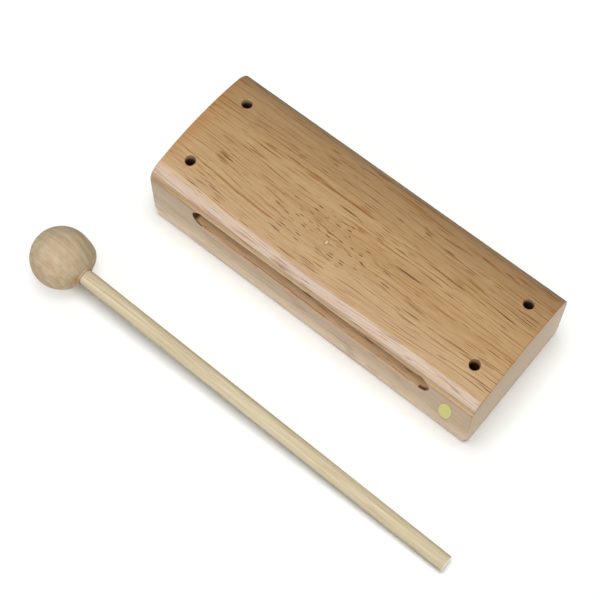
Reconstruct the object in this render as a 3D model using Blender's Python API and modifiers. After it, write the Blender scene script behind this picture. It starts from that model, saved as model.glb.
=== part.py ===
"""A student's wood block and its beater, lying side by side on a table.

The block is one piece of hardwood with a crowned top and rounded shoulders. A slot runs along its front face and
ends in a round bore at each side, and four holes go down through it for screws or a cord. The beater is a wooden
ball glued onto a dowel.

Metres, +Z up. The origin is the middle of the block's underside, +X runs along the block and -Y is the side with
the slot. The beater lies in front of it, with its ball and the tip of its handle on the table.
"""

import math

import bmesh
import bpy

MM = 0.001

# Block
BLOCK_LENGTH = 190 * MM
BLOCK_WIDTH = 73 * MM
BLOCK_HEIGHT = 45 * MM  # at the middle of the crown
CROWN_RISE = 5 * MM  # from where the crown's curve would meet the sides
FRONT_SHOULDER = 8 * MM
REAR_SHOULDER = 10 * MM
BOTTOM_ROUND = 2.5 * MM

# Slot in the front face, drilled at both ends and milled out between
SLOT_HEIGHT = 11.2 * MM
SLOT_DEPTH = 50 * MM
SLOT_END_RADIUS = 5.85 * MM
SLOT_END_DEPTH = 51 * MM
SLOT_ENDS = [(-62.8 * MM, 30.1 * MM), (65.0 * MM, 31.1 * MM)]  # along the block, and up

# Holes down through the block
HOLE_RADIUS = 2.65 * MM
HOLE_PLACES = [
    (-82.1 * MM, 20.1 * MM),
    (-83.1 * MM, -20.1 * MM),
    (83.1 * MM, 20.4 * MM),
    (81.8 * MM, -18.6 * MM),
]

# Oval film label on the front face
LABEL_WIDTH = 6.3 * MM
LABEL_HEIGHT = 16.8 * MM
LABEL_SQUARENESS = 2.5  # 2 is an ellipse, and a higher number has fuller corners
LABEL_LEAN = math.radians(4.5)  # its top leans to the right
LABEL_THICKNESS = 0.2 * MM
LABEL_ALONG = 81.1 * MM
LABEL_UP = 20.8 * MM

# Beater
BALL_RADIUS = 15.25 * MM
BALL_COLLAR_RADIUS = 5 * MM  # low collar left round the bore
BALL_COLLAR_REACH = 15.1 * MM  # from the middle of the ball to the collar's face
BALL_BORE_DEPTH = 18.8 * MM
BALL_ALONG = -107.6 * MM
BEATER_IN_FRONT = 88 * MM  # from the middle of the block
HANDLE_RADIUS = 4 * MM
HANDLE_REACH = 230.6 * MM  # from the middle of the ball to the tip
HANDLE_TIP_BEVEL = 0.4 * MM

GAP = 0.3 * MM  # kept between pieces that touch
OVERSHOOT = 5 * MM  # how far a cutter stands out of what it cuts

# Facets of each arc
CROWN_STEPS = 24
SHOULDER_STEPS = 10
BOTTOM_STEPS = 5
BORE_SIDES = 48
HOLE_SIDES = 32
LABEL_STEPS = 48
BALL_SIDES = 48
BALL_RINGS = 22
HANDLE_SIDES = 40
SHARP_ANGLE = math.radians(30)

# Colours as linear RGB
BLOCK_WOOD = (0.50, 0.30, 0.145)
HANDLE_WOOD = (0.62, 0.53, 0.35)
BALL_WOOD = (0.50, 0.40, 0.26)
LABEL_FILM = (0.60, 0.60, 0.20)


def clear_scene():
    """Removes what the file opened with."""
    for obj in list(bpy.data.objects):
        bpy.data.objects.remove(obj)


def new_collection(name):
    collection = bpy.data.collections.new(name)
    bpy.context.scene.collection.children.link(collection)
    return collection


def material(name, colour, roughness):
    """A plain Principled material."""
    made = bpy.data.materials.new(name)
    made.use_nodes = True
    shader = made.node_tree.nodes["Principled BSDF"]
    shader.inputs["Base Color"].default_value = (*colour, 1)
    shader.inputs["Roughness"].default_value = roughness
    shader.inputs["Metallic"].default_value = 0
    return made


def move_to(obj, collection):
    """Takes the object out of the collection it was added to, and puts it in this one."""
    for old in obj.users_collection:
        old.objects.unlink(obj)
    collection.objects.link(obj)


def arc(centre, radius, start, end, steps):
    """Points round a centre, from one angle to another, both in radians."""
    points = []
    for step in range(steps + 1):
        angle = start + (end - start) * step / steps
        points.append((centre[0] + radius * math.cos(angle), centre[1] + radius * math.sin(angle)))
    return points


def flat_outline(name, points, thickness, collection):
    """A filled outline in its own XY plane, with half its thickness to each side."""
    curve = bpy.data.curves.new(name, "CURVE")
    curve.dimensions = "2D"
    curve.fill_mode = "BOTH"
    curve.extrude = thickness / 2
    spline = curve.splines.new("POLY")
    spline.points.add(len(points) - 1)
    for place, (x, y) in zip(spline.points, points):
        place.co = (x, y, 0, 1)
    spline.use_cyclic_u = True
    obj = bpy.data.objects.new(name, curve)
    collection.objects.link(obj)
    return obj


def evaluated_mesh(obj):
    """The mesh that the object's curve or modifiers make."""
    graph = bpy.context.evaluated_depsgraph_get()
    return bpy.data.meshes.new_from_object(obj.evaluated_get(graph))


def curve_to_mesh(curve_obj, collection):
    """Replaces a curve object with a closed mesh object in the same place."""
    name = curve_obj.name
    bpy.context.view_layer.update()
    mesh = evaluated_mesh(curve_obj)
    bm = bmesh.new()
    bm.from_mesh(mesh)
    bmesh.ops.remove_doubles(bm, verts=bm.verts, dist=1e-6)
    bm.to_mesh(mesh)
    bm.free()
    place = curve_obj.matrix_world.copy()
    bpy.data.objects.remove(curve_obj)
    obj = bpy.data.objects.new(name, mesh)
    obj.matrix_world = place
    collection.objects.link(obj)
    return obj


def shade(obj):
    """Smooth round faces, with crisp edges where faces meet at an angle."""
    obj.data.shade_smooth()
    obj.data.set_sharp_from_angle(angle=SHARP_ANGLE)


def shoulder_centre(radius, crown_centre_up, crown_radius):
    """The middle of a rounding that touches one side of the block and the underside of the crown's curve."""
    across = BLOCK_WIDTH / 2 - radius
    up = crown_centre_up + math.sqrt((crown_radius - radius) ** 2 - across**2)
    return across, up


def block_section():
    """The outline of the block's end, seen from its right: front at -X, rear at +X, up at +Y."""
    half = BLOCK_WIDTH / 2
    crown_radius = (half**2 + CROWN_RISE**2) / (2 * CROWN_RISE)
    crown_up = BLOCK_HEIGHT - crown_radius
    rear_across, rear_up = shoulder_centre(REAR_SHOULDER, crown_up, crown_radius)
    front_across, front_up = shoulder_centre(FRONT_SHOULDER, crown_up, crown_radius)
    rear_angle = math.atan2(rear_up - crown_up, rear_across)
    front_angle = math.pi - math.atan2(front_up - crown_up, front_across)
    low = half - BOTTOM_ROUND
    crown = arc((0, crown_up), crown_radius, rear_angle, front_angle, CROWN_STEPS)
    return [
        *arc((low, BOTTOM_ROUND), BOTTOM_ROUND, -math.pi / 2, 0, BOTTOM_STEPS),
        *arc((rear_across, rear_up), REAR_SHOULDER, 0, rear_angle, SHOULDER_STEPS),
        *crown[1:-1],
        *arc((-front_across, front_up), FRONT_SHOULDER, front_angle, math.pi, SHOULDER_STEPS),
        *arc((-low, BOTTOM_ROUND), BOTTOM_ROUND, math.pi, math.pi * 1.5, BOTTOM_STEPS),
    ]


def as_cutter(name, collection):
    """Names the primitive that was just added, and keeps it out of the render."""
    cutter = bpy.context.object
    cutter.name = name
    cutter.display_type = "WIRE"
    cutter.hide_render = True
    bpy.ops.object.transform_apply(location=False, rotation=False, scale=True)
    move_to(cutter, collection)
    return cutter


def slot_cutters(collection):
    """A box for the milled slot, and a drill for the round bore at each of its ends."""
    front = -BLOCK_WIDTH / 2
    (left, left_up), (right, right_up) = SLOT_ENDS
    bpy.ops.mesh.primitive_cube_add(
        size=1,
        location=((left + right) / 2, front + (SLOT_DEPTH - OVERSHOOT) / 2, (left_up + right_up) / 2),
        rotation=(0, -math.atan2(right_up - left_up, right - left), 0),
        scale=(math.hypot(right - left, right_up - left_up), SLOT_DEPTH + OVERSHOOT, SLOT_HEIGHT),
    )
    cutters = [as_cutter("slot_mill", collection)]
    for number, (along, up) in enumerate(SLOT_ENDS, 1):
        bpy.ops.mesh.primitive_cylinder_add(
            vertices=BORE_SIDES,
            radius=SLOT_END_RADIUS,
            depth=SLOT_END_DEPTH + OVERSHOOT,
            location=(along, front + (SLOT_END_DEPTH - OVERSHOOT) / 2, up),
            rotation=(math.pi / 2, 0, 0),
        )
        cutters.append(as_cutter(f"slot_drill_{number}", collection))
    return cutters


def hole_cutters(collection):
    """A drill down through the block at each of the four hole places."""
    cutters = []
    for number, (along, across) in enumerate(HOLE_PLACES, 1):
        bpy.ops.mesh.primitive_cylinder_add(
            vertices=HOLE_SIDES,
            radius=HOLE_RADIUS,
            depth=BLOCK_HEIGHT + 2 * OVERSHOOT,
            location=(along, across, BLOCK_HEIGHT / 2),
        )
        cutters.append(as_cutter(f"hole_drill_{number}", collection))
    return cutters


def make_block(parts, cutting):
    """The block: its section drawn along X, with the slot and the holes cut out of it."""
    outline = flat_outline("block_body", block_section(), BLOCK_LENGTH, parts)
    outline.rotation_euler = (math.pi / 2, 0, math.pi / 2)
    block = curve_to_mesh(outline, parts)
    for cutter in slot_cutters(cutting) + hole_cutters(cutting):
        boolean = block.modifiers.new(cutter.name, "BOOLEAN")
        boolean.operation = "DIFFERENCE"
        boolean.object = cutter
    # The cuts are made for good, so that the new edges can be told sharp or smooth.
    bpy.context.view_layer.update()
    cut_mesh = evaluated_mesh(block)
    block.modifiers.clear()
    block.data = cut_mesh
    shade(block)
    block.data.materials.append(material("lacquered hardwood", BLOCK_WOOD, 0.42))
    return block


def make_label(parts):
    """A thin blank oval, standing the gap off the front face."""
    oval = []
    for step in range(LABEL_STEPS):
        angle = 2 * math.pi * step / LABEL_STEPS
        along, up = math.cos(angle), math.sin(angle)
        fullness = (abs(along) ** LABEL_SQUARENESS + abs(up) ** LABEL_SQUARENESS) ** (1 / LABEL_SQUARENESS)
        oval.append((LABEL_WIDTH / 2 * along / fullness, LABEL_HEIGHT / 2 * up / fullness))
    outline = flat_outline("front_label", oval, LABEL_THICKNESS, parts)
    outline.rotation_euler = (math.pi / 2, LABEL_LEAN, 0)
    outline.location = (LABEL_ALONG, -BLOCK_WIDTH / 2 - GAP - LABEL_THICKNESS / 2, LABEL_UP)
    label = curve_to_mesh(outline, parts)
    label.data.materials.append(material("blank label film", LABEL_FILM, 0.5))
    return label


def beater_tilt():
    """How far the handle leans, in radians, when the ball and the lower edge of the tip both touch the table."""
    reach = HANDLE_REACH - HANDLE_TIP_BEVEL
    return math.asin(BALL_RADIUS / math.hypot(reach, HANDLE_RADIUS)) - math.atan2(HANDLE_RADIUS, reach)


def make_beater_axis(parts):
    """An empty in the middle of the ball, whose +X runs down the handle."""
    axis = bpy.data.objects.new("beater_axis", None)
    axis.location = (BALL_ALONG, -BEATER_IN_FRONT, BALL_RADIUS)
    axis.rotation_euler = (0, beater_tilt(), 0)
    parts.objects.link(axis)
    return axis


def make_ball(parts, axis):
    """The ball, turned round its bore: bore floor, bore wall, collar, then the round outside."""
    bore_radius = HANDLE_RADIUS + GAP
    face = BALL_COLLAR_REACH
    floor = face - BALL_BORE_DEPTH
    outside = arc((0, 0), BALL_RADIUS, math.acos(BALL_COLLAR_RADIUS / BALL_RADIUS), -math.pi / 2, BALL_RINGS)
    collar = [(bore_radius, face), (BALL_COLLAR_RADIUS, face)]
    profile = [(0, floor), (bore_radius, floor), *collar, *outside[:-1], (0, -BALL_RADIUS)]
    mesh = bpy.data.meshes.new("beater_ball")
    edges = [(step, step + 1) for step in range(len(profile) - 1)]
    mesh.from_pydata([(x, 0, z) for x, z in profile], edges, [])
    ball = bpy.data.objects.new("beater_ball", mesh)
    parts.objects.link(ball)
    screw = ball.modifiers.new("turned", "SCREW")
    screw.axis = "Z"
    screw.steps = BALL_SIDES
    screw.render_steps = BALL_SIDES
    screw.use_merge_vertices = True
    screw.merge_threshold = 0.00005
    bpy.context.view_layer.update()
    turned = evaluated_mesh(ball)
    ball.modifiers.clear()
    ball.data = turned
    shade(ball)
    ball.parent = axis
    ball.rotation_euler = (0, math.pi / 2, 0)
    ball.data.materials.append(material("bare turned wood", BALL_WOOD, 0.65))
    return ball


def make_handle(parts, axis):
    """The dowel, from just off the floor of the ball's bore to the tip, with its end edges eased."""
    start = BALL_COLLAR_REACH - BALL_BORE_DEPTH + GAP
    bpy.ops.mesh.primitive_cylinder_add(
        vertices=HANDLE_SIDES,
        radius=HANDLE_RADIUS,
        depth=HANDLE_REACH - start,
    )
    handle = bpy.context.object
    handle.name = "beater_handle"
    move_to(handle, parts)
    handle.parent = axis
    handle.location = ((HANDLE_REACH + start) / 2, 0, 0)
    handle.rotation_euler = (0, math.pi / 2, 0)
    bevel = handle.modifiers.new("eased ends", "BEVEL")
    bevel.width = HANDLE_TIP_BEVEL
    bevel.segments = 2
    bevel.limit_method = "ANGLE"
    bevel.angle_limit = math.radians(60)
    shade(handle)
    handle.data.materials.append(material("bare dowel wood", HANDLE_WOOD, 0.6))
    return handle


def main():
    clear_scene()
    parts = new_collection("wood_block")
    cutting = new_collection("cutters")
    make_block(parts, cutting)
    make_label(parts)
    axis = make_beater_axis(parts)
    make_ball(parts, axis)
    make_handle(parts, axis)


main()
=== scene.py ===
"""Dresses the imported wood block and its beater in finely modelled, procedurally coloured wood.

The block is one piece of lacquered hardwood, planed flat, bored, slotted and then crowned, in that order.
The beater is a turned ball glued to a dowel. Lengths are in metres, and patterns in millimetres.
"""

import math

import bmesh
import bpy
from bpy.props import FloatProperty, FloatVectorProperty, PointerProperty
from mathutils import Matrix, Vector


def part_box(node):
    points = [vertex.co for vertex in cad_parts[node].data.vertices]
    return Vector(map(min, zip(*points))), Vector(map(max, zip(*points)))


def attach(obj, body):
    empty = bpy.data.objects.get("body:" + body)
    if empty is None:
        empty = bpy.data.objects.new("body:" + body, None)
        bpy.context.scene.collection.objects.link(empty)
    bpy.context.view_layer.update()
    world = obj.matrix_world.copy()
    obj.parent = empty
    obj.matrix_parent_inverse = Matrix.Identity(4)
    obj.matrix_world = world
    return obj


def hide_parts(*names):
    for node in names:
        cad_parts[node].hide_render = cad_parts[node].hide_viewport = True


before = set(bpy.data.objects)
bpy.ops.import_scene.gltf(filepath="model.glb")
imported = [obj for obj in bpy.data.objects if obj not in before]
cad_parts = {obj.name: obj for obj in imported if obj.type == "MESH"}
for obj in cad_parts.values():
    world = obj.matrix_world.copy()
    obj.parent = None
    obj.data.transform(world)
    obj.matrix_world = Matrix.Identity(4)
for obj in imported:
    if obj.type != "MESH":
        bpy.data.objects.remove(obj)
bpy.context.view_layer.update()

bl_info = {
    "name": "Wood Block and Beater",
    "version": (1, 0, 0),
    "blender": (4, 5, 0),
    "location": "3D View > Sidebar > Wood Block",
    "description": "Adds a lacquered hardwood wood block with its ball-and-dowel beater, and a pale studio",
    "category": "Add Mesh",
}

MM = 0.001
BLOCK_LOW, BLOCK_HIGH = (Vector(corner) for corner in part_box("block_body"))
BALL_LOW, BALL_HIGH = (Vector(corner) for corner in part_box("beater_ball"))
LABEL_LOW, LABEL_HIGH = (Vector(corner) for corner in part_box("front_label"))

# Where the holes go down through the block, along it and across it
HOLE_PLACES = [
    (-82.1 * MM, 20.1 * MM),
    (-83.1 * MM, -20.1 * MM),
    (83.1 * MM, 20.4 * MM),
    (81.8 * MM, -18.6 * MM),
]
# Middles of the round bores that end the slot, along the block and up
SLOT_LEFT = (-62.8 * MM, 30.1 * MM)
SLOT_RIGHT = (65.0 * MM, 31.1 * MM)
# The pin knot in the top, and the middle and reach of the curly grain round it
PIN_KNOT_PLACE = Vector((-6.6 * MM, -13.4 * MM, 44.3 * MM))
CURL_PLACE = Vector((-8 * MM, -9 * MM, 44 * MM))
CURL_REACH = Vector((36 * MM, 15 * MM, 16 * MM))
# Where the camera stands, from the middle of the block's underside
CAMERA_PLACE = (184.776 * MM, -268.622 * MM, 700.454 * MM)
# How far apart the fine threads in the block's grain lie
THREAD_SPACING = 2.4 * MM
# How far apart the points of an arc are drawn
ARC_STEP = 0.6 * MM
# Two points closer than this are one point
SAME_POINT = 0.001 * MM
# Edges that turn more than this stay crisp
SHARP_OVER = math.radians(40)


def linear(hex_colour):
    """Turns an sRGB colour such as B98B5E into linear red, green and blue."""
    channels = []
    for start in (0, 2, 4):
        value = int(hex_colour[start:start + 2], 16) / 255
        channels.append(value / 12.92 if value <= 0.04045 else ((value + 0.055) / 1.055) ** 2.4)
    return tuple(channels)


def length(name, description, default):
    """A length that a user can change."""
    return FloatProperty(
        name=name, description=description, default=default, min=0, unit="LENGTH", precision=5
    )


def angle(name, description, degrees):
    """An angle that a user can change."""
    return FloatProperty(name=name, description=description, default=math.radians(degrees), subtype="ANGLE")


def power(name, description, watts):
    """The power of a light, which a user can change."""
    return FloatProperty(name=name, description=description, default=watts, min=0, unit="POWER")


def colour(name, description, hex_colour):
    """A colour that a user can change."""
    return FloatVectorProperty(
        name=name, description=description, default=linear(hex_colour), subtype="COLOR", min=0, max=1
    )


class BlockSizes(bpy.types.PropertyGroup):
    """The block's sizes, which the frame gives where it can."""

    crown_rise: length("Crown Rise", "Height of the crown over the line of its edges", 5 * MM)
    front_shoulder: length("Front Shoulder", "Rounding of the long edge over the slot", 8 * MM)
    rear_shoulder: length("Rear Shoulder", "Rounding of the long edge at the back", 10 * MM)
    bottom_round: length("Bottom Round", "Rounding of the long edges that it stands on", 0.9 * MM)
    end_ease: length("End Ease", "Sanding of the edges round both ends", 0.6 * MM)
    corner_wear: length("Corner Wear", "How much is worn off the four bottom corners", 2.4 * MM)
    rim_ease: length("Rim Ease", "Sanding of the edges of the slot and the holes", 0.3 * MM)
    slot_height: length("Slot Height", "Width of the milled channel between the bores", 11.2 * MM)
    slot_depth: length("Slot Depth", "How far the slot goes in from the front", 50 * MM)
    slot_end_radius: length("Slot End Radius", "Radius of the bore at each end of the slot", 5.85 * MM)
    hole_radius: length("Hole Radius", "Radius of the holes down through the block", 2.65 * MM)


class BeaterSizes(bpy.types.PropertyGroup):
    """The beater's sizes."""

    ball_radius: length("Ball Radius", "Radius of the ball", 15.25 * MM)
    collar_radius: length("Collar Radius", "Radius of the low collar left round the ball's bore", 5 * MM)
    collar_reach: length("Collar Reach", "From the middle of the ball to the collar's face", 15.1 * MM)
    bore_radius: length("Bore Radius", "Radius of the bore that the handle is glued into", 4.15 * MM)
    bore_depth: length("Bore Depth", "Depth of that bore", 18.8 * MM)
    handle_radius: length("Handle Radius", "Radius of the dowel", 4 * MM)
    handle_reach: length("Handle Reach", "From the middle of the ball to the tip", 230.6 * MM)
    tip_ease: length("Tip Ease", "Breaking of the sawn edge at the tip", 0.4 * MM)
    bulge: length("Bulge", "How far the ball is out of round, beside the handle", 1.2 * MM)


class LabelSizes(bpy.types.PropertyGroup):
    """The blank label's sizes."""

    width: length("Width", "Width of the oval", 6.3 * MM)
    height: length("Height", "Height of the oval", 16.8 * MM)
    thickness: length("Thickness", "Thickness of the film", 0.12 * MM)
    lean: angle("Lean", "How far its top leans to the right", 4.5)


class WoodColours(bpy.types.PropertyGroup):
    """The colours of the woods and of the label."""

    block_light: colour("Block Light", "Pale wood between the grain lines of the block", "AE9066")
    block_mid: colour("Block Mid", "Main colour of the block", "9E7C52")
    # Painted shade: the back of the top darkens to this colour; the ball's inked grain lines use it too
    block_painted_shade_and_ink: colour("Block Shade", "Heartwood that the block darkens to at its back", "7F613F")
    # Painted light: paler along the bottom, over the slot's upper rim and at the foot of the ends; also the
    # pin knot's pale dot
    block_pale_and_painted_light: colour("Block Pale", "Sapwood along the bottom", "CDB594")
    # Painted shade: greys the front shoulder where its highlight lies
    block_painted_shoulder_shade: colour("Block Grey", "Greyer wood along the front shoulder", "8F8070")
    block_vessel: colour("Block Vessels", "Brown of the open vessels", "6C390F")
    block_thread: colour("Block Threads", "Orange brown of the long fine threads", "84521F")
    block_dark: colour("Block Dark Vessels", "Nearly black cores of a few vessels", "28160A")
    block_amber: colour("Block Amber", "Lacquer gathered along edges and at the ends", "A0692F")
    block_end: colour("Block End Grain", "Sawn ends of the block", "AD9577")
    slot_wood: colour("Slot Wood", "Raw wood inside the slot", "BA9976")
    # Dark wood at the slot's ends and along its lower rim, and painted shade deep in the holes
    dark_wood_and_hole_shade: colour("Drill Burn", "Wood that the drill scorched", "44200E")
    ball_light: colour("Ball Light", "Pale wood of the ball", "BAAA8D")
    ball_mid: colour("Ball Mid", "Darker grain of the ball", "9C876B")
    handle_light: colour("Handle Light", "Pale wood of the dowel", "C9BEA2")
    handle_mid: colour("Handle Mid", "Darker grain of the dowel", "AC9B7C")
    handle_tip: colour("Handle Tip", "Freshly sawn tip of the dowel", "EFE9DC")
    label_film: colour("Label Film", "Film of the blank label", "C9C566")
    label_mottle: colour("Label Mottle", "Paper that shows faintly through the film", "AFAA50")


class StageSizes(bpy.types.PropertyGroup):
    """The camera, the lights and the floor."""

    lens: FloatProperty(name="Lens", description="Focal length", default=95.62, min=1, unit="CAMERA")
    camera_down: angle("Camera Down", "How far below level the camera looks", 66.161)
    camera_turn: angle("Camera Turn", "Direction that the camera looks in, from +X towards +Y", 129.032)
    camera_roll: angle("Camera Roll", "Turn of the picture about the line of sight", -0.141)
    overhead: power("Overhead", "Power of the overhead softbox", 17)
    front: power("Front", "Power of the front softbox", 10.2)
    right: power("Right", "Power of the softbox at the right", 5)
    panel: power("Panel", "Power of the panel that the gloss mirrors", 42)
    table: power("Table", "Power of the softbox over the table", 12)
    table_past: power("Table Past", "Power of the softbox there in which the ball throws no shadow", 20)
    table_fill: power("Table Fill", "Power of the wide light that fills the shadows on the table", 33)
    sky: FloatProperty(name="Sky", description="Strength of the even white surroundings", default=0.25)


def clear_selection():
    """Leaves Object Mode with nothing selected, ready for a new piece."""
    if bpy.context.mode != "OBJECT":
        bpy.ops.object.mode_set(mode="OBJECT")
    bpy.ops.object.select_all(action="DESELECT")


def take_up(piece):
    """Selects the piece alone and makes it the one that is worked on."""
    clear_selection()
    piece.select_set(True)
    bpy.context.view_layer.objects.active = piece


def start_piece(name):
    """Names the primitive that was just added, puts its place in its mesh, and opens it for editing."""
    piece = bpy.context.object
    piece.name = name
    piece.data.name = name
    bpy.ops.object.transform_apply(location=True, rotation=True, scale=True)
    bpy.ops.object.mode_set(mode="EDIT")
    return piece


def pick(piece, kind, test):
    """Selects just the corners, edges or faces that pass the test. The kind is VERT, EDGE or FACE."""
    bpy.ops.mesh.select_mode(type=kind)
    bpy.ops.mesh.select_all(action="DESELECT")
    shape = bmesh.from_edit_mesh(piece.data)
    everything = {"VERT": shape.verts, "EDGE": shape.edges, "FACE": shape.faces}[kind]
    found = [element for element in everything if test(element)]
    if not found:
        raise RuntimeError(f"{piece.name}: nothing to select")
    for element in found:
        element.select_set(True)
    shape.select_flush_mode()
    bmesh.update_edit_mesh(piece.data)


def start_outline(name, place):
    """A new piece of one corner, from a plane drawn together, to draw an outline from."""
    clear_selection()
    bpy.ops.mesh.primitive_plane_add(size=MM, location=place)
    piece = start_piece(name)
    bpy.ops.mesh.select_mode(type="VERT")
    bpy.ops.mesh.select_all(action="SELECT")
    bpy.ops.mesh.merge(type="CENTER")
    return piece


def draw_out(*move):
    """Draws out what is selected: a corner into a straight side, or a face into a block."""
    bpy.ops.mesh.extrude_region_move(TRANSFORM_OT_translate={"value": move})


def draw_arc(centre, axis, sweep, radius):
    """Sweeps the selected corner round the centre, with a point about every half millimetre."""
    steps = max(4, round(abs(sweep) * radius / ARC_STEP))
    bpy.ops.mesh.spin(steps=steps, angle=sweep, center=centre, axis=axis)


def fill_and_extrude(*move):
    """Closes the outline that was drawn, fills it and gives it its depth."""
    bpy.ops.mesh.select_all(action="SELECT")
    bpy.ops.mesh.remove_doubles(threshold=SAME_POINT)
    bpy.ops.mesh.edge_face_add()
    thicken(*move)


def thicken(*move):
    """Draws the selected face out into a solid, with its faces outwards."""
    draw_out(*move)
    bpy.ops.mesh.select_all(action="SELECT")
    bpy.ops.mesh.normals_make_consistent(inside=False)


def ease_edges(width, segments):
    """Rounds the selected edges."""
    bpy.ops.mesh.bevel(
        offset_type="OFFSET", offset=width, segments=segments, profile=0.5, affect="EDGES",
        clamp_overlap=False,
    )


def cut_away(piece, cutter):
    """Takes the cutter's shape out of the piece, for good."""
    take_up(piece)
    cut = piece.modifiers.new("cut", "BOOLEAN")
    cut.operation = "DIFFERENCE"
    cut.object = cutter
    bpy.ops.object.modifier_apply(modifier=cut.name)
    bpy.data.objects.remove(cutter)


def finish_piece(piece, surface, body, slot, *nodes):
    """Shades the piece, gives it its material, hangs it on the body it rides on and hides the CAD parts it
    stands for.
    """
    take_up(piece)
    bpy.ops.object.shade_smooth_by_angle(angle=SHARP_OVER)
    even = piece.modifiers.new("even shading", "WEIGHTED_NORMAL")
    even.keep_sharp = True
    bpy.ops.object.modifier_apply(modifier=even.name)
    piece.data.materials.append(surface)
    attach(piece, body)
    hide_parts(*nodes)


class Crown:
    """The arched top of the block, worked out from its sizes."""

    def __init__(self, sizes):
        self.half = (BLOCK_HIGH.y - BLOCK_LOW.y) / 2
        self.height = BLOCK_HIGH.z
        self.radius = (self.half**2 + sizes.crown_rise**2) / (2 * sizes.crown_rise)
        self.centre = self.height - self.radius
        self.front = self.shoulder(sizes.front_shoulder)
        self.rear = self.shoulder(sizes.rear_shoulder)

    def shoulder(self, radius):
        """Where a shoulder's middle is across and up, the angle it sweeps, and where it meets the crown."""
        across = self.half - radius
        up = self.centre + math.sqrt((self.radius - radius) ** 2 - across**2)
        sweep = math.atan2(up - self.centre, across)
        meets = (self.radius * math.cos(sweep), self.centre + self.radius * math.sin(sweep))
        return {"across": across, "up": up, "sweep": sweep, "meets": meets, "radius": radius}

    def chord(self, across):
        """Height of the flat that is planed first, between the two shoulders."""
        front_y, front_z = -self.front["meets"][0], self.front["meets"][1]
        rear_y, rear_z = self.rear["meets"]
        return front_z + (rear_z - front_z) * (across - front_y) / (rear_y - front_y)

    def lift(self, across):
        """How far the crown stands over that flat."""
        return self.centre + math.sqrt(self.radius**2 - across**2) - self.chord(across)


def plane_block(sizes, crown):
    """The block with its shoulders and a flat top: its end drawn at the left, then drawn out along X."""
    left = BLOCK_LOW.x
    low = crown.half - sizes.bottom_round
    front, rear = crown.front, crown.rear
    axis = (1, 0, 0)
    block = start_outline("hardwood_block", (left, -crown.half, sizes.bottom_round))
    draw_out(0, 0, front["up"] - sizes.bottom_round)
    draw_arc((left, -front["across"], front["up"]), axis, front["sweep"], front["radius"])
    draw_out(0, rear["meets"][0] + front["meets"][0], rear["meets"][1] - front["meets"][1])
    draw_arc((left, rear["across"], rear["up"]), axis, rear["sweep"], rear["radius"])
    draw_out(0, 0, sizes.bottom_round - rear["up"])
    draw_arc((left, low, sizes.bottom_round), axis, math.pi / 2, sizes.bottom_round)
    draw_out(0, -2 * low, 0)
    draw_arc((left, -low, sizes.bottom_round), axis, math.pi / 2, sizes.bottom_round)
    fill_and_extrude(BLOCK_HIGH.x - left, 0, 0)
    round_ends(block, sizes)
    return block


def round_ends(block, sizes):
    """Eases the edges round both ends, and pares the bottom corners, which are worn, with two cuts each."""
    pick(block, "EDGE", lambda edge: any(abs(face.normal.x) > 0.99 for face in edge.link_faces))
    ease_edges(sizes.end_ease, 3)
    for end in (-1, 1):
        for side in (-1, 1):
            corner = Vector((end * BLOCK_HIGH.x, side * BLOCK_HIGH.y, 0))
            # How far each cut reaches along the block and up it, as multiples of the wear
            for inward, upward in ((1.0, 3.6), (1.45, 1.1)):
                bpy.ops.mesh.select_all(action="SELECT")
                bpy.ops.mesh.bisect(
                    plane_co=corner - Vector((end * inward * sizes.corner_wear, 0, 0)),
                    plane_no=(end, side, -inward / upward), clear_outer=True, use_fill=True,
                    threshold=SAME_POINT,
                )


def bore_holes(block, sizes):
    """Drills the four holes down through the block while its top is still flat."""
    for along, across in HOLE_PLACES:
        clear_selection()
        bpy.ops.mesh.primitive_cylinder_add(
            vertices=40, radius=sizes.hole_radius, depth=2 * BLOCK_HIGH.z,
            location=(along, across, BLOCK_HIGH.z / 2),
        )
        cut_away(block, bpy.context.object)


def rout_slot(block, sizes):
    """Cuts the slot: a drilled bore at each end, and a milled channel between them."""
    start_y = BLOCK_LOW.y - 5 * MM
    radius = sizes.slot_end_radius
    rise = sizes.slot_height / 2
    reach = math.sqrt(radius**2 - rise**2)
    left = Vector((SLOT_LEFT[0], start_y, SLOT_LEFT[1]))
    right = Vector((SLOT_RIGHT[0], start_y, SLOT_RIGHT[1]))
    along = (right - left).normalized()
    upward = Vector((-along.z, 0, along.x))
    sweep = 2 * math.pi - 2 * math.atan2(rise, reach)
    cutter = start_outline("slot_cutter", left + along * reach - upward * rise)
    draw_arc(left, (0, 1, 0), -sweep, radius)
    draw_out(*(right - left - 2 * along * reach))
    draw_arc(right, (0, 1, 0), -sweep, radius)
    fill_and_extrude(0, BLOCK_LOW.y + sizes.slot_depth - start_y, 0)
    cut_away(block, cutter)


def ease_rims(block, sizes):
    """Breaks the sharp edges that the drill and the mill left."""
    take_up(block)
    bpy.ops.object.mode_set(mode="EDIT")
    near = sizes.hole_radius + 0.1 * MM

    def on_hole_rim(edge):
        middle = (edge.verts[0].co + edge.verts[1].co) / 2
        level = abs(edge.verts[0].co.z - edge.verts[1].co.z) < 0.8 * sizes.hole_radius
        return level and any(
            math.hypot(middle.x - along, middle.y - across) < near for along, across in HOLE_PLACES
        )

    def on_slot_rim(edge):
        if len(edge.link_faces) != 2:
            return False
        outer, inner = sorted(edge.link_faces, key=lambda face: face.normal.y)
        middle = (edge.verts[0].co + edge.verts[1].co) / 2
        in_front = middle.y < BLOCK_LOW.y + 3 * MM and abs(middle.x) < 0.8 * BLOCK_HIGH.x
        return in_front and outer.normal.y < -0.7 and abs(inner.normal.y) < 0.01

    pick(block, "EDGE", on_hole_rim)
    ease_edges(sizes.rim_ease, 3)
    pick(block, "EDGE", on_slot_rim)
    ease_edges(sizes.rim_ease, 3)


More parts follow.
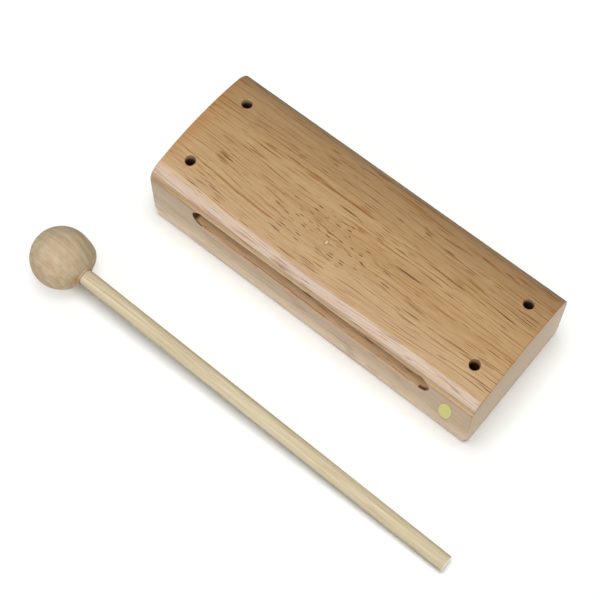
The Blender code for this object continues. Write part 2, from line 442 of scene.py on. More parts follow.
def raise_crown(block, crown):
    """Divides the flat top into strips along the block and lifts them into the crown."""
    front_edge = -crown.front["meets"][0]
    rear_edge = crown.rear["meets"][0]
    strips, cross_cuts, cross_spacing = 36, 19, 8 * MM
    cuts = []
    for number in range(1, strips):
        cuts.append(((0, front_edge + (rear_edge - front_edge) * number / strips, 0), (0, 1, 0)))
    for number in range(cross_cuts):
        cuts.append((((number - cross_cuts // 2) * cross_spacing, 0, 0), (1, 0, 0)))
    low = 0.75 * crown.height
    for place, normal in cuts:
        pick(block, "FACE", lambda face: face.normal.z > 0.05 and face.calc_center_median().z > low)
        bpy.ops.mesh.bisect(plane_co=place, plane_no=normal, threshold=SAME_POINT)
    # Corners of the flat lie on the strips' edges and round the holes
    corners_across = {
        round(corner.co.y, 6) for corner in bmesh.from_edit_mesh(block.data).verts
        if front_edge < corner.co.y < rear_edge and corner.co.z > crown.chord(corner.co.y) - MM
    }
    for across in sorted(corners_across):
        pick(block, "VERT", lambda corner: abs(corner.co.y - across) < 0.0005 * MM
             and corner.co.z > crown.chord(across) - MM)
        bpy.ops.transform.translate(value=(0, 0, crown.lift(across)))


def add_node(tree, kind, settings=None, inputs=None):
    """Adds a shader node. Settings are its own properties, and an input is a value or the socket for it."""
    made = tree.nodes.new("ShaderNode" + kind)
    for name, value in (settings or {}).items():
        setattr(made, name, value)
    for name, value in (inputs or {}).items():
        if isinstance(value, bpy.types.NodeSocket):
            tree.links.new(value, made.inputs[name])
        else:
            made.inputs[name].default_value = value
    return made


def new_surface(name):
    """An empty material with its Principled shader, ready for nodes."""
    surface = bpy.data.materials.new(name)
    surface.use_nodes = True
    return surface, surface.node_tree, surface.node_tree.nodes["Principled BSDF"]


def measured_in_mm(tree):
    """Object coordinates in millimetres."""
    place = add_node(tree, "TexCoord")
    return add_node(
        tree, "Mapping", {"vector_type": "TEXTURE"},
        {"Vector": place.outputs["Object"], "Scale": (MM, MM, MM)},
    ).outputs[0]


def grain_noise(tree, place, cell, detail=2.0):
    """Soft noise with patches of about the size of the cell, in mm, from 0 to 1."""
    scaled = add_node(tree, "Mapping", {"vector_type": "TEXTURE"}, {"Vector": place, "Scale": cell})
    return add_node(
        tree, "TexNoise", None, {"Vector": scaled.outputs[0], "Scale": 1.0, "Detail": detail}
    ).outputs


def bend_grain(tree, place, cell, reach, amount=1.0):
    """Moves the place of a pattern sideways by a slow noise, so that straight lines wander."""
    slow = grain_noise(tree, place, cell, 1.0)["Color"]
    centred = add_node(tree, "VectorMath", {"operation": "SUBTRACT"}, {0: slow, 1: (0.5, 0.5, 0.5)})
    sideways = add_node(tree, "VectorMath", {"operation": "MULTIPLY"}, {0: centred.outputs[0], 1: reach})
    scaled = add_node(
        tree, "VectorMath", {"operation": "SCALE"}, {0: sideways.outputs[0], "Scale": amount}
    )
    return add_node(tree, "VectorMath", {"operation": "ADD"}, {0: place, 1: scaled.outputs[0]}).outputs[0]


def all_of(tree, *amounts):
    """The amounts multiplied together."""
    total = amounts[0]
    for amount in amounts[1:]:
        total = add_node(tree, "Math", {"operation": "MULTIPLY"}, {0: total, 1: amount}).outputs[0]
    return total


def sum_of(tree, start, *parts):
    """The start with the parts added, each a pattern and how much of it counts."""
    total = start
    for pattern, share in parts:
        total = add_node(
            tree, "Math", {"operation": "MULTIPLY_ADD"}, {0: pattern, 1: share, 2: total}
        ).outputs[0]
    return total


def within(tree, value, low, high, soft=0.05, edge="SMOOTHSTEP"):
    """1 where the value lies between low and high, else 0, with soft edges. Either limit may be None."""
    sides = []
    for limit, inward in ((low, soft), (high, -soft)):
        if limit is not None:
            sides.append(add_node(
                tree, "MapRange", {"interpolation_type": edge},
                {"Value": value, "From Min": limit - inward, "From Max": limit + inward},
            ).outputs[0])
    return all_of(tree, *sides)


def vessel_lines(tree, place, cell, shown, wide):
    """Broken lines along the grain, one in each shown cell: their strength, and a number each line has."""
    scaled = add_node(tree, "Mapping", {"vector_type": "TEXTURE"}, {"Vector": place, "Scale": cell})
    cells = add_node(
        tree, "TexVoronoi", {"voronoi_dimensions": "3D"}, {"Vector": scaled.outputs[0], "Scale": 1.0}
    )
    line = within(tree, cells.outputs["Distance"], None, 0.75 * wide, 0.25 * wide)
    own = add_node(tree, "SeparateColor", None, {0: cells.outputs["Color"]}).outputs
    drawn = within(tree, own["Red"], 1 - 0.8 * shown, None, 0.2 * shown, "LINEAR")
    return all_of(tree, line, drawn), own["Green"]


def stained(tree, wood, *stains):
    """A colour with stains laid over it in turn, each an amount and a colour."""
    for amount, cover in stains:
        under, over = (
            shade if isinstance(shade, bpy.types.NodeSocket) else (*shade, 1) for shade in (wood, cover)
        )
        wood = add_node(
            tree, "Mix", {"data_type": "RGBA"}, {"Factor": amount, "A": under, "B": over}
        ).outputs["Result"]
    return wood


def finish_wood(tree, shader, wood, relief, depth, strength):
    """Gives the shader its colour and the relief of its grain, whose depth is in millimetres."""
    bump = add_node(tree, "Bump", None, {"Strength": strength, "Distance": depth * MM, "Height": relief})
    tree.links.new(wood, shader.inputs["Base Color"])
    tree.links.new(bump.outputs[0], shader.inputs["Normal"])


def nearness(tree, place, middle, reach):
    """How near a place is to a middle: 1 there, and 0 at its reach."""
    centred = add_node(
        tree, "Mapping", {"vector_type": "TEXTURE"},
        {"Vector": place, "Location": middle, "Scale": reach},
    )
    return add_node(
        tree, "TexGradient", {"gradient_type": "SPHERICAL"}, {"Vector": centred.outputs[0]}
    ).outputs["Fac"]


def curled_grain(tree, in_mm):
    """Places along the wandering grain of the block, and how near each is to the curl by the pin knot."""
    curl = nearness(tree, in_mm, CURL_PLACE / MM, CURL_REACH / MM)
    grain = bend_grain(tree, in_mm, (110, 30, 30), (0, 8, 8))
    return bend_grain(tree, grain, (17, 7, 7), (0, 5, 5), curl), curl


def planed_ground(tree, colours, grain, fibres, at):
    """The ground: slow bands, streaks of 2 mm and fine fibres, with painted shade on the front shoulder and
    the back, and painted light over the slot and along the bottom.
    """
    along, across, up = at["X"], at["Y"], at["Z"]
    bands = grain_noise(tree, grain, (150, 9, 9))["Fac"]
    streaks = grain_noise(tree, grain, (55, 1.8, 1.8), 3.0)["Fac"]
    tone = sum_of(tree, -0.5, (streaks, 0.9), (fibres, 1.35), (bands, 1.1))
    tone = within(tree, tone, 1.15, None, 0.4, "LINEAR")
    # Painted shade greys the front shoulder under its highlight
    painted_shoulder_shade = all_of(tree, within(tree, across, -35.2, -30.8, 0.6), within(tree, up, 36.8, 46, 0.4), 0.6)
    # Painted light pales the strip over the slot's upper rim
    painted_light_over_slot = all_of(tree, within(tree, across, -38, -35.1, 0.4), within(tree, up, 36.2, 37.1, 0.3), 0.5)
    left_end = all_of(tree, within(tree, along, -98, -90, 3), within(tree, across, -30, 40, 2), 0.35)
    # Painted shade darkens the back of the top
    painted_rear_shade = all_of(tree, within(tree, across, 19, None, 15), 0.55)
    # Painted light pales the block towards the bottom
    painted_light_low = all_of(tree, within(tree, up, None, 11, 10), 0.95)
    return stained(
        tree, colours.block_light, (tone, colours.block_mid), (painted_shoulder_shade, colours.block_painted_shoulder_shade),
        (painted_light_over_slot, colours.block_pale_and_painted_light), (left_end, colours.block_amber), (painted_rear_shade, colours.block_painted_shade_and_ink),
        (painted_light_low, colours.block_pale_and_painted_light),
    )


def open_vessels(tree, colours, wood, grain, curl, across):
    """Lays amber threads and brown vessels over the ground, and says where the pores are.

    The threads are crowded and spread by a slow noise, and fade in and out along the grain. The vessels
    come in bundles, and in the curl they are short flecks.
    """
    bundles = grain_noise(tree, grain, (95, 6, 6), 1.0)["Fac"]
    bundles = sum_of(tree, 0.5, (within(tree, bundles, 0.49, None, 0.11), 0.5))
    flecks_only = within(tree, curl, 0.175, None, 0.125, "LINEAR")
    long_only = sum_of(tree, 1.0, (within(tree, curl, 0.3, None, 0.2, "LINEAR"), -0.55))
    bent = add_node(tree, "SeparateXYZ", None, {0: grain}).outputs
    rolling = grain_noise(tree, grain, (120, 3.5, 3.5), 1.0)["Fac"]
    layer = sum_of(tree, bent["Y"], (bent["Z"], 0.9), (rolling, 5.5))
    from_thread = add_node(
        tree, "Math", {"operation": "PINGPONG"}, {0: layer, 1: THREAD_SPACING / MM / 2}
    ).outputs[0]
    breaks = grain_noise(tree, grain, (20, 1.8, 1.8), 2.0)["Fac"]
    calm_front = sum_of(tree, 0.5, (within(tree, across, -35.4, None, 0.9, "LINEAR"), 0.5))
    threads = all_of(
        tree, within(tree, from_thread, None, 0.19, 0.11), within(tree, breaks, 0.47, None, 0.09),
        long_only, calm_front, 0.76,
    )
    wood = stained(tree, wood, (threads, colours.block_thread))
    pores = 0.0
    for cell, shown, wide, where in (
        ((50, 1.0, 1.0), 0.7, 0.24, long_only),
        ((30, 0.85, 0.85), 0.6, 0.26, bundles),
        ((14, 0.8, 0.8), 0.35, 0.28, bundles),
        ((6, 0.85, 0.85), 0.6, 0.36, flecks_only),
    ):
        strength, own = vessel_lines(tree, grain, cell, shown, wide)
        brown = all_of(tree, strength, where)
        core = add_node(tree, "Math", {"operation": "POWER"}, {0: brown, 1: 1.6}).outputs[0]
        dark = all_of(tree, core, within(tree, own, 0.79, None, 0.05, "LINEAR"), 0.9)
        wood = stained(tree, wood, (brown, colours.block_vessel), (dark, colours.block_dark))
        pores = add_node(tree, "Math", {"operation": "MAXIMUM"}, {0: pores, 1: brown}).outputs[0]
    return wood, pores


def pin_knot(tree, colours, wood, in_mm):
    """Lays the pin knot over the wood: a pale dot with a brown ring."""
    knot = add_node(
        tree, "Mapping", {"vector_type": "TEXTURE"},
        {"Vector": in_mm, "Location": PIN_KNOT_PLACE / MM, "Scale": (0.95, 1.4, 9)},
    )
    from_knot = add_node(
        tree, "VectorMath", {"operation": "LENGTH"}, {0: knot.outputs[0]}
    ).outputs["Value"]
    ring = all_of(tree, within(tree, from_knot, 0.8, 1.2, 0.3), 0.5)
    dot = all_of(tree, within(tree, from_knot, None, 0.65, 0.25), 0.6)
    return stained(tree, wood, (ring, colours.block_vessel), (dot, colours.block_pale_and_painted_light))


def sawn_end(tree, colours, in_mm, up):
    """The sawn ends, with rings that follow the top, and painted light that makes them paler towards the
    bottom.
    """
    rings = grain_noise(tree, in_mm, (300, 34, 1.3), 3.0)["Fac"]
    rings = all_of(tree, within(tree, rings, 0.525, None, 0.175, "LINEAR"), 0.35)
    # Painted light pales the ends towards the bottom
    foot = all_of(tree, within(tree, up, None, 23, 17, "LINEAR"), 0.6)
    return stained(tree, colours.block_end, (rings, colours.block_mid), (foot, colours.block_pale_and_painted_light))


def inside_slot(tree, in_mm, across):
    """1 inside the slot, from how far each point is from the line between the middles of its bores."""
    left, right = (Vector((end[0], 0, end[1])) / MM for end in (SLOT_LEFT, SLOT_RIGHT))
    run = right - left
    place = add_node(
        tree, "Mapping", {"vector_type": "TEXTURE"},
        {"Vector": in_mm, "Location": (left + right) / 2, "Rotation": (0, -math.atan2(run.z, run.x), 0)},
    ).outputs[0]
    # Half the slot comes off along it, and more than the width across it, which leaves what is past an end
    nothing = (0, 0, 0)
    reach = (run.length / 2, BLOCK_HIGH.x / MM, 0)
    for operation, other in (("ABSOLUTE", nothing), ("SUBTRACT", reach), ("MAXIMUM", nothing)):
        place = add_node(tree, "VectorMath", {"operation": operation}, {0: place, 1: other}).outputs[0]
    from_line = add_node(tree, "VectorMath", {"operation": "LENGTH"}, {0: place}).outputs["Value"]
    return all_of(tree, within(tree, from_line, None, 6.02, 0.07), within(tree, across, -38, 20))


def raw_slot(tree, colours, in_mm, patches, at):
    """Raw wood in the slot, torn and amber along the lower rim, and darker at the bores that end it."""
    along, across, up = at["X"], at["Y"], at["Z"]
    fuzz = grain_noise(tree, in_mm, (16, 0.7, 2), 3.0)["Fac"]
    fuzz = all_of(tree, within(tree, fuzz, 0.54, None, 0.12, "LINEAR"), 0.55)
    scratches, _ = vessel_lines(tree, in_mm, (12, 1.0, 3), 0.45, 0.34)
    tears = grain_noise(tree, in_mm, (8, 0.6, 3), 3.0)["Fac"]
    low_down = within(tree, up, 20, 30, 1)
    torn_rim = all_of(
        tree, within(tree, across, -37, -35.7, 0.25), within(tree, tears, 0.525, None, 0.055, "LINEAR"),
        low_down, 0.8,
    )
    wavy = grain_noise(tree, in_mm, (14, 40, 40), 2.0)["Fac"]
    splinter = all_of(
        tree, within(tree, sum_of(tree, across, (wavy, -1.4)), -36.72, -36.42, 0.12),
        within(tree, along, -38, 0.5, 0.4), low_down, 0.8,
    )
    left_dark_end = within(tree, sum_of(tree, along, (patches, 1.4)), -80, -66.3, 0.7)
    left_foot = all_of(
        tree, within(tree, along, -67, -63.4, 0.15), within(tree, up, 20, 26.2, 0.6),
        within(tree, across, -37, -35.9, 0.2),
    )
    right_dark_end = all_of(
        tree, within(tree, along, 65.2, 80, 0.15), within(tree, across, -38, -35, 0.5),
        sum_of(tree, 0.12, (within(tree, up, None, 27.7, 1.3), 0.88)),
    )
    dark_ends = [(all_of(tree, dark_end, 0.92), colours.dark_wood_and_hole_shade) for dark_end in (left_dark_end, left_foot, right_dark_end)]
    return stained(
        tree, colours.slot_wood, (fuzz, colours.block_mid), (scratches, colours.block_vessel),
        (torn_rim, colours.block_amber), (splinter, colours.dark_wood_and_hole_shade), *dark_ends,
    )


def lacquered_hardwood():
    """Rubberwood, planed and sanded along the grain and sprayed with satin lacquer.

    It gives the eye a tan ground in soft streaks, amber threads, broken brown vessels with a few nearly
    black ones, short curly flecks round a pin knot, plainer sawn ends, and raw wood in the slot, darker at
    its ends, and in the holes. Painted shade greys the front shoulder, darkens the back and darkens the
    holes deeper down; painted light pales the bottom, the strip over the slot and the foot of the ends.
    Vessels are drawn 0.4 to 0.6 mm wide, about twice their real width, so that they show.
    """
    colours = bpy.context.scene.wood_colours
    surface, tree, shader = new_surface("lacquered rubberwood")
    in_mm = measured_in_mm(tree)
    at = add_node(tree, "SeparateXYZ", None, {0: in_mm}).outputs
    across, up = at["Y"], at["Z"]
    from_middle = add_node(tree, "Math", {"operation": "ABSOLUTE"}, {0: at["X"]}).outputs[0]
    grain, curl = curled_grain(tree, in_mm)
    fibres = grain_noise(tree, grain, (9, 0.8, 0.8), 3.0)["Fac"]
    wood = planed_ground(tree, colours, grain, fibres, at)
    wood, pores = open_vessels(tree, colours, wood, grain, curl, across)
    wood = pin_knot(tree, colours, wood, in_mm)

    # Lacquer gathers in an amber line over the slot and along the ends of the top
    patches = grain_noise(tree, in_mm, (9, 6, 1.5), 2.0)["Fac"]
    slot_line = all_of(
        tree, within(tree, up, 39.4, 40.6, 0.5), within(tree, across, -40, -30),
        within(tree, patches, 0.5, None, 0.12, "LINEAR"), 0.45,
    )
    end_line = all_of(tree, within(tree, from_middle, 94.2, 94.9, 0.3), within(tree, up, 34, 50, 0.5), 0.3)

    # Sawn and bored wood takes the place of planed wood where the mask says
    on_ends = within(tree, from_middle, 94.93, 99, 0.04)
    in_slot = inside_slot(tree, in_mm, across)
    in_holes = all_of(
        tree, within(tree, from_middle, 74, 92), within(tree, across, -23.2, 23.2),
        within(tree, up, None, 42.8, 0.1),
    )
    # Painted shade darkens the holes deeper down
    painted_hole_shade = all_of(tree, within(tree, up, None, 40.5, 1.7), 0.95)
    wood = stained(
        tree, wood, (slot_line, colours.block_amber), (end_line, colours.block_amber),
        (on_ends, sawn_end(tree, colours, in_mm, up)),
        (in_slot, raw_slot(tree, colours, in_mm, patches, at)),
        (in_holes, stained(tree, colours.slot_wood, (painted_hole_shade, colours.dark_wood_and_hole_shade))),
    )

    # Pores dent the lacquer a little, and it sinks into pores, ends and raw wood
    finish_wood(tree, shader, wood, sum_of(tree, fibres, (pores, -1.0)), 0.05, 0.35)
    shader.inputs["Roughness"].default_value = 0.55
    shader.inputs["Specular IOR Level"].default_value = 0.2
    sunk = sum_of(tree, in_slot, (on_ends, 0.5), (pores, 0.6))
    coat = add_node(tree, "Math", {"operation": "SUBTRACT", "use_clamp": True}, {0: 0.75, 1: sunk})
    tree.links.new(coat.outputs[0], shader.inputs["Coat Weight"])
    shader.inputs["Coat Roughness"].default_value = 0.15
    return surface


def in_line_with_handle(tree):
    """Coordinates in millimetres from the middle of the ball, with X along the handle."""
    sizes = bpy.context.scene.beater_sizes
    middle, lean = beater_middle(sizes) / MM, beater_lean(sizes)
    return add_node(
        tree, "Mapping", {"vector_type": "TEXTURE"},
        {"Vector": measured_in_mm(tree), "Location": middle, "Rotation": (0, lean, 0)},
    ).outputs[0]


def turned_ball_wood():
    """Schima or birch, turned and sanded and left bare.

    It gives the eye fine layers cut across in bowed lines, a soft mottle, and amber by the glue.
    """
    colours = bpy.context.scene.wood_colours
    surface, tree, shader = new_surface("sanded bare ball wood")
    in_line = in_line_with_handle(tree)
    at = add_node(tree, "SeparateXYZ", None, {0: in_line}).outputs
    # The layers come closer together towards both ends, as they do where a ball is cut from a bent board
    bow = sum_of(tree, 1.0, (all_of(tree, at["X"], at["X"]), 0.0016))
    layer = all_of(tree, at["Y"], bow)
    layered = add_node(tree, "CombineXYZ", None, {"X": at["X"], "Y": layer, "Z": at["Z"]}).outputs[0]
    lines = grain_noise(tree, layered, (60, 0.7, 18), 2.0)["Fac"]
    bands = grain_noise(tree, layered, (40, 2.6, 20), 2.0)["Fac"]
    mottle = grain_noise(tree, in_line, (5, 3, 4), 3.0)["Fac"]
    tone = sum_of(tree, 0.0, (bands, 0.6), (lines, 1.1), (mottle, 0.55))
    # A few layers end in finer, darker lines
    from_line = add_node(
        tree, "Math", {"operation": "PINGPONG"}, {0: sum_of(tree, layer, (bands, 3.0)), 1: 0.65}
    ).outputs[0]
    inked = all_of(
        tree, within(tree, from_line, None, 0.16, 0.1), within(tree, mottle, 0.5, None, 0.1, "LINEAR"), 0.3
    )
    tint = all_of(
        tree, within(tree, at["Y"], None, -6.5, 5.5), within(tree, mottle, 0.52, None, 0.1, "LINEAR"), 0.2
    )
    glue = all_of(tree, nearness(tree, in_line, (13.5, -4.5, 3), (3.5, 4, 4)), 0.8)
    wood = stained(
        tree, colours.ball_light, (within(tree, tone, 1.135, None, 0.415, "LINEAR"), colours.ball_mid),
        (inked, colours.block_painted_shade_and_ink), (tint, colours.block_amber), (glue, colours.block_amber),
    )
    finish_wood(tree, shader, wood, lines, 0.08, 0.5)
    shader.inputs["Roughness"].default_value = 0.7
    shader.inputs["Specular IOR Level"].default_value = 0.2
    return surface


def dowel_wood():
    """Ramin dowel, bare from the moulder.

    It gives the eye cream wood with fine long lines and streaks, a few pores and a pale sawn tip.
    """
    sizes, colours = bpy.context.scene.beater_sizes, bpy.context.scene.wood_colours
    surface, tree, shader = new_surface("bare dowel wood")
    in_line = in_line_with_handle(tree)
    grain = bend_grain(tree, in_line, (90, 14, 14), (0, 2, 2))
    streaks = grain_noise(tree, grain, (75, 1.2, 1.2), 3.0)["Fac"]
    fibres = grain_noise(tree, grain, (30, 0.45, 0.45))["Fac"]
    tone = within(tree, sum_of(tree, streaks, (fibres, 1.0)), 1.0, None, 0.28, "LINEAR")
    strength, _ = vessel_lines(tree, grain, (24, 0.8, 0.8), 0.5, 0.3)
    pores = all_of(tree, strength, 0.4)
    reach = add_node(tree, "SeparateXYZ", None, {0: in_line}).outputs["X"]
    sawn = all_of(tree, within(tree, reach, sizes.handle_reach / MM - 0.35, None, 0.1), 0.6)
    wood = stained(
        tree, colours.handle_light, (tone, colours.handle_mid), (pores, colours.block_mid),
        (sawn, colours.handle_tip),
    )
    finish_wood(tree, shader, wood, sum_of(tree, fibres, (pores, -1.5)), 0.05, 0.4)
    shader.inputs["Roughness"].default_value = 0.8
    shader.inputs["Specular IOR Level"].default_value = 0.12
    return surface


def label_foil():
    """Glossy film, bare of print: an even yellow-green with the faintest mottle of the paper under it."""
    colours = bpy.context.scene.wood_colours
    surface, tree, shader = new_surface("gloss label film")
    mottle = grain_noise(tree, measured_in_mm(tree), (1.2, 1.2, 1.2))["Fac"]
    mottle = all_of(tree, within(tree, mottle, 0.5, None, 0.2, "LINEAR"), 0.12)
    film = stained(tree, colours.label_film, (mottle, colours.label_mottle))
    tree.links.new(film, shader.inputs["Base Color"])
    shader.inputs["Roughness"].default_value = 0.42
    return surface


def matte_paper(name, shade):
    """Uncoated paper: it gives the eye one even tone and no sheen."""
    surface, _, shader = new_surface(name)
    shader.inputs["Base Color"].default_value = (*shade, 1)
    shader.inputs["Roughness"].default_value = 0.9
    shader.inputs["Specular IOR Level"].default_value = 0
    return surface


def beater_lean(sizes):
    """How far the handle leans when the ball and the lower edge of the tip both touch the table."""
    reach = sizes.handle_reach - sizes.tip_ease
    return math.asin(sizes.ball_radius / math.hypot(reach, sizes.handle_radius)) - math.atan2(
        sizes.handle_radius, reach
    )


def beater_middle(sizes):
    """The middle of the ball."""
    return Vector((BALL_LOW.x + sizes.ball_radius, (BALL_LOW.y + BALL_HIGH.y) / 2, sizes.ball_radius))


def lay_on_table(piece, sizes):
    """Moves a beater piece, made along X from the middle of the ball, to where the beater lies."""
    take_up(piece)
    piece.location = beater_middle(sizes)
    piece.rotation_euler = (0, beater_lean(sizes), 0)
    bpy.ops.object.transform_apply(location=True, rotation=True, scale=True)


class WOODBLOCK_OT_add_block(bpy.types.Operator):
    """Add the hardwood block with its slot and holes"""

    bl_idname = "woodblock.add_block"
    bl_label = "Add Block"

    def execute(self, context):
        sizes = context.scene.block_sizes
        crown = Crown(sizes)
        block = plane_block(sizes, crown)
        bore_holes(block, sizes)
        rout_slot(block, sizes)
        ease_rims(block, sizes)
        raise_crown(block, crown)
        finish_piece(block, lacquered_hardwood(), "block", "block_wood", "block_body")
        return {"FINISHED"}


class WOODBLOCK_OT_add_label(bpy.types.Operator):
    """Add the blank oval label"""

    bl_idname = "woodblock.add_label"
    bl_label = "Add Label"

    def execute(self, context):
        sizes = context.scene.label_sizes
        middle = (LABEL_LOW + LABEL_HIGH) / 2
        middle.y = BLOCK_LOW.y - 0.02 * MM
        clear_selection()
        bpy.ops.mesh.primitive_plane_add(size=sizes.height, location=middle, rotation=(math.pi / 2, 0, 0))
        label = start_piece("oval_label")
        # Rounding the square's corners until they meet, a little full, makes the oval once it is narrowed
        bpy.ops.mesh.select_all(action="SELECT")
        bpy.ops.mesh.bevel(
            offset_type="OFFSET", offset=sizes.height / 2, segments=24, profile=0.58, affect="VERTICES"
        )
        bpy.ops.mesh.remove_doubles(threshold=0.01 * MM)
        bpy.ops.mesh.select_all(action="SELECT")
        bpy.ops.transform.resize(value=(sizes.width / sizes.height, 1, 1), center_override=middle)
        bpy.ops.transform.rotate(value=-sizes.lean, orient_axis="Y", center_override=middle)
        thicken(0, -sizes.thickness, 0)
        finish_piece(label, label_foil(), "block", "label_film", "front_label")
        return {"FINISHED"}


class WOODBLOCK_OT_add_ball(bpy.types.Operator):
    """Add the beater's turned ball"""

    bl_idname = "woodblock.add_ball"
    bl_label = "Add Ball"

    def execute(self, context):
        sizes = context.scene.beater_sizes
        clear_selection()
        bpy.ops.mesh.primitive_uv_sphere_add(
            segments=96, ring_count=64, radius=sizes.ball_radius, rotation=(0, math.pi / 2, 0)
        )
        ball = start_piece("turned_ball")
        foot = math.sqrt(sizes.ball_radius**2 - sizes.collar_radius**2)
        wall = sizes.collar_radius - sizes.bore_radius
        bpy.ops.mesh.select_all(action="SELECT")
        bpy.ops.mesh.bisect(
            plane_co=(foot, 0, 0), plane_no=(1, 0, 0), clear_outer=True, use_fill=True, threshold=SAME_POINT
        )
        pick(ball, "FACE", lambda face: face.normal.x > 0.99
             and abs(face.calc_center_median().x - foot) < 0.1 * MM)
        draw_out(sizes.collar_reach - foot, 0, 0)
        bpy.ops.mesh.inset(thickness=wall, depth=0)
        draw_out(-sizes.bore_depth, 0, 0)
        face_edges = sizes.collar_reach - 0.01 * MM
        pick(ball, "EDGE", lambda edge: all(corner.co.x > face_edges for corner in edge.verts)
             and edge.calc_length() < 0.7 * wall)
        ease_edges(0.2 * MM, 2)
        # The ball is out of round beside the handle, which its collar and bore are not
        pick(ball, "FACE", lambda face: face.calc_center_median().x > 0
             and math.hypot(face.calc_center_median().y, face.calc_center_median().z) < sizes.collar_radius)
        bpy.ops.mesh.hide(unselected=False)
        side = Vector((0.664, 0.742, -0.087)).normalized()
        pick(ball, "VERT", lambda corner: not corner.hide and corner.co.normalized().dot(side) > 0.998)
        bpy.ops.transform.translate(
            value=side * sizes.bulge, use_proportional_edit=True, proportional_edit_falloff="SMOOTH",
            proportional_size=9 * MM, use_proportional_connected=True,
        )
        bpy.ops.mesh.reveal(select=False)
        lay_on_table(ball, sizes)
        finish_piece(ball, turned_ball_wood(), "beater", "ball_wood", "beater_ball")
        return {"FINISHED"}


class WOODBLOCK_OT_add_handle(bpy.types.Operator):
    """Add the beater's dowel handle"""

    bl_idname = "woodblock.add_handle"
    bl_label = "Add Handle"

    def execute(self, context):
        sizes = context.scene.beater_sizes
        start = sizes.collar_reach - sizes.bore_depth + 0.3 * MM
        clear_selection()
        bpy.ops.mesh.primitive_cylinder_add(
            vertices=64, radius=sizes.handle_radius, depth=sizes.handle_reach - start,
            rotation=(0, math.pi / 2, 0), location=((sizes.handle_reach + start) / 2, 0, 0),
        )
        handle = start_piece("dowel_handle")
        pick(handle, "EDGE", lambda edge: abs(edge.verts[0].co.x - edge.verts[1].co.x) < MM)
        ease_edges(sizes.tip_ease, 3)
        lay_on_table(handle, sizes)
        finish_piece(handle, dowel_wood(), "beater", "handle_wood", "beater_handle")
        return {"FINISHED"}


def link_light(light, role, piece, state):
    """Makes a piece a light's only receiver or blocker, with INCLUDE, or the one left out, with EXCLUDE."""
    linked = bpy.data.collections.new(f"{light.name} {role}")
    linked.objects.link(piece)
    setattr(light.light_linking, f"{role}_collection", linked)
    linked.collection_objects[0].light_linking.link_state = state


def add_softbox(name, place, aim, size, power):
    """A square softbox at a place, facing a point."""
    light = bpy.data.lights.new(name, "AREA")
    light.shape = "RECTANGLE"
    light.size, light.size_y = size
    light.energy = power
    softbox = bpy.data.objects.new(name, light)
    bpy.context.scene.collection.objects.link(softbox)
    softbox.location = place
    softbox.rotation_euler = (Vector(aim) - Vector(place)).to_track_quat("-Z", "Y").to_euler()
    return softbox


def add_camera(sizes):
    """The camera, at the photograph's viewing angle."""
    camera = bpy.data.objects.new("camera", bpy.data.cameras.new("camera"))
    bpy.context.scene.collection.objects.link(camera)
    camera.data.lens = sizes.lens
    camera.data.sensor_width = 36
    camera.data.clip_start = 0.01
    turn = Matrix.Rotation(sizes.camera_turn - math.pi / 2, 4, "Z")
    tip = Matrix.Rotation(math.pi / 2 - sizes.camera_down, 4, "X")
    roll = Matrix.Rotation(-sizes.camera_roll, 4, "Z")
    camera.matrix_world = Matrix.Translation(CAMERA_PLACE) @ turn @ tip @ roll
    bpy.context.scene.camera = camera


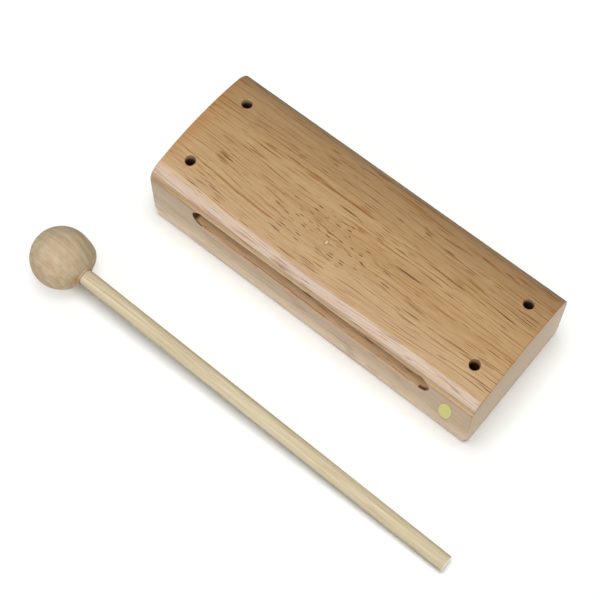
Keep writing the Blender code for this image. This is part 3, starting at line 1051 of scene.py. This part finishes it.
class WOODBLOCK_OT_add_stage(bpy.types.Operator):
    """Add the camera, the pale floor and the soft lights"""

    bl_idname = "woodblock.add_stage"
    bl_label = "Add Stage"

    def execute(self, context):
        sizes = context.scene.stage_sizes
        add_camera(sizes)
        clear_selection()
        bpy.ops.mesh.primitive_circle_add(vertices=64, radius=6, fill_type="NGON")
        floor = start_piece("pale_floor")
        clear_selection()
        floor.data.materials.append(matte_paper("white paper", (0.9, 0.9, 0.9)))
        # Only reflections see the grey card that lies behind the block, so its back edge stays free of haze
        bpy.ops.mesh.primitive_plane_add(size=2, location=(-0.905, 1.039, 0.0005))
        card = start_piece("grey_card")
        clear_selection()
        card.data.materials.append(matte_paper("grey card", (0.22, 0.2, 0.18)))
        card.visible_camera = False
        card.visible_diffuse = False
        card.visible_shadow = False
        # The table has lights of its own, so that it can be white beside wood that is lit more softly
        over_table = (0, 0, 2)
        for name, place, width, watts, floor_state in (
            ("overhead softbox", (0, -0.15, 1.6), 0.8, sizes.overhead, "EXCLUDE"),
            ("front softbox", (0, -0.95, 1.25), 0.7, sizes.front, "EXCLUDE"),
            ("right softbox", (1.3, -0.2, 0.7), 0.7, sizes.right, "EXCLUDE"),
            ("table softbox", over_table, 1, sizes.table, "INCLUDE"),
            ("table softbox past the ball", over_table, 1, sizes.table_past, "INCLUDE"),
            ("table fill", over_table, 6, sizes.table_fill, "INCLUDE"),
        ):
            softbox = add_softbox(name, place, (0, 0, 0), (width, width), watts)
            softbox.visible_glossy = False
            link_light(softbox, "receiver", floor, floor_state)
            if floor_state == "INCLUDE":
                softbox.data.color = (0.985, 1, 0.985)
        past_ball = bpy.data.objects["table softbox past the ball"]
        link_light(past_ball, "blocker", bpy.data.objects["turned_ball"], "EXCLUDE")
        panel = add_softbox("mirrored panel", (-0.3, -0.7, 0.75), (-0.1, 0, 0.1), (1.6, 1.45), sizes.panel)
        panel.visible_diffuse = False
        world = bpy.data.worlds.new("white surroundings")
        context.scene.world = world
        world.use_nodes = True
        world.node_tree.nodes["Background"].inputs["Color"].default_value = (1, 1, 1, 1)
        world.node_tree.nodes["Background"].inputs["Strength"].default_value = sizes.sky
        context.scene.view_settings.view_transform = "Standard"
        return {"FINISHED"}


class WOODBLOCK_PT_panel(bpy.types.Panel):
    """Lists the pieces and their sizes"""

    bl_idname = "WOODBLOCK_PT_panel"
    bl_label = "Wood Block"
    bl_space_type = "VIEW_3D"
    bl_region_type = "UI"
    bl_category = "Wood Block"

    def draw(self, context):
        for operator in OPERATORS:
            self.layout.operator(operator.bl_idname)
        for group in GROUPS:
            box = self.layout.box()
            for name in GROUPS[group].__annotations__:
                box.prop(getattr(context.scene, group), name)


GROUPS = {
    "block_sizes": BlockSizes,
    "label_sizes": LabelSizes,
    "beater_sizes": BeaterSizes,
    "wood_colours": WoodColours,
    "stage_sizes": StageSizes,
}
OPERATORS = [
    WOODBLOCK_OT_add_block,
    WOODBLOCK_OT_add_label,
    WOODBLOCK_OT_add_ball,
    WOODBLOCK_OT_add_handle,
    WOODBLOCK_OT_add_stage,
]
CLASSES = [*GROUPS.values(), *OPERATORS, WOODBLOCK_PT_panel]


def register():
    for each in CLASSES:
        bpy.utils.register_class(each)
    for name, group in GROUPS.items():
        setattr(bpy.types.Scene, name, PointerProperty(type=group))


def unregister():
    for name in GROUPS:
        delattr(bpy.types.Scene, name)
    for each in reversed(CLASSES):
        bpy.utils.unregister_class(each)


def main():
    register()
    bpy.ops.woodblock.add_block()
    bpy.ops.woodblock.add_label()
    bpy.ops.woodblock.add_ball()
    bpy.ops.woodblock.add_handle()
    bpy.ops.woodblock.add_stage()


if __name__ == "__main__":
    main()
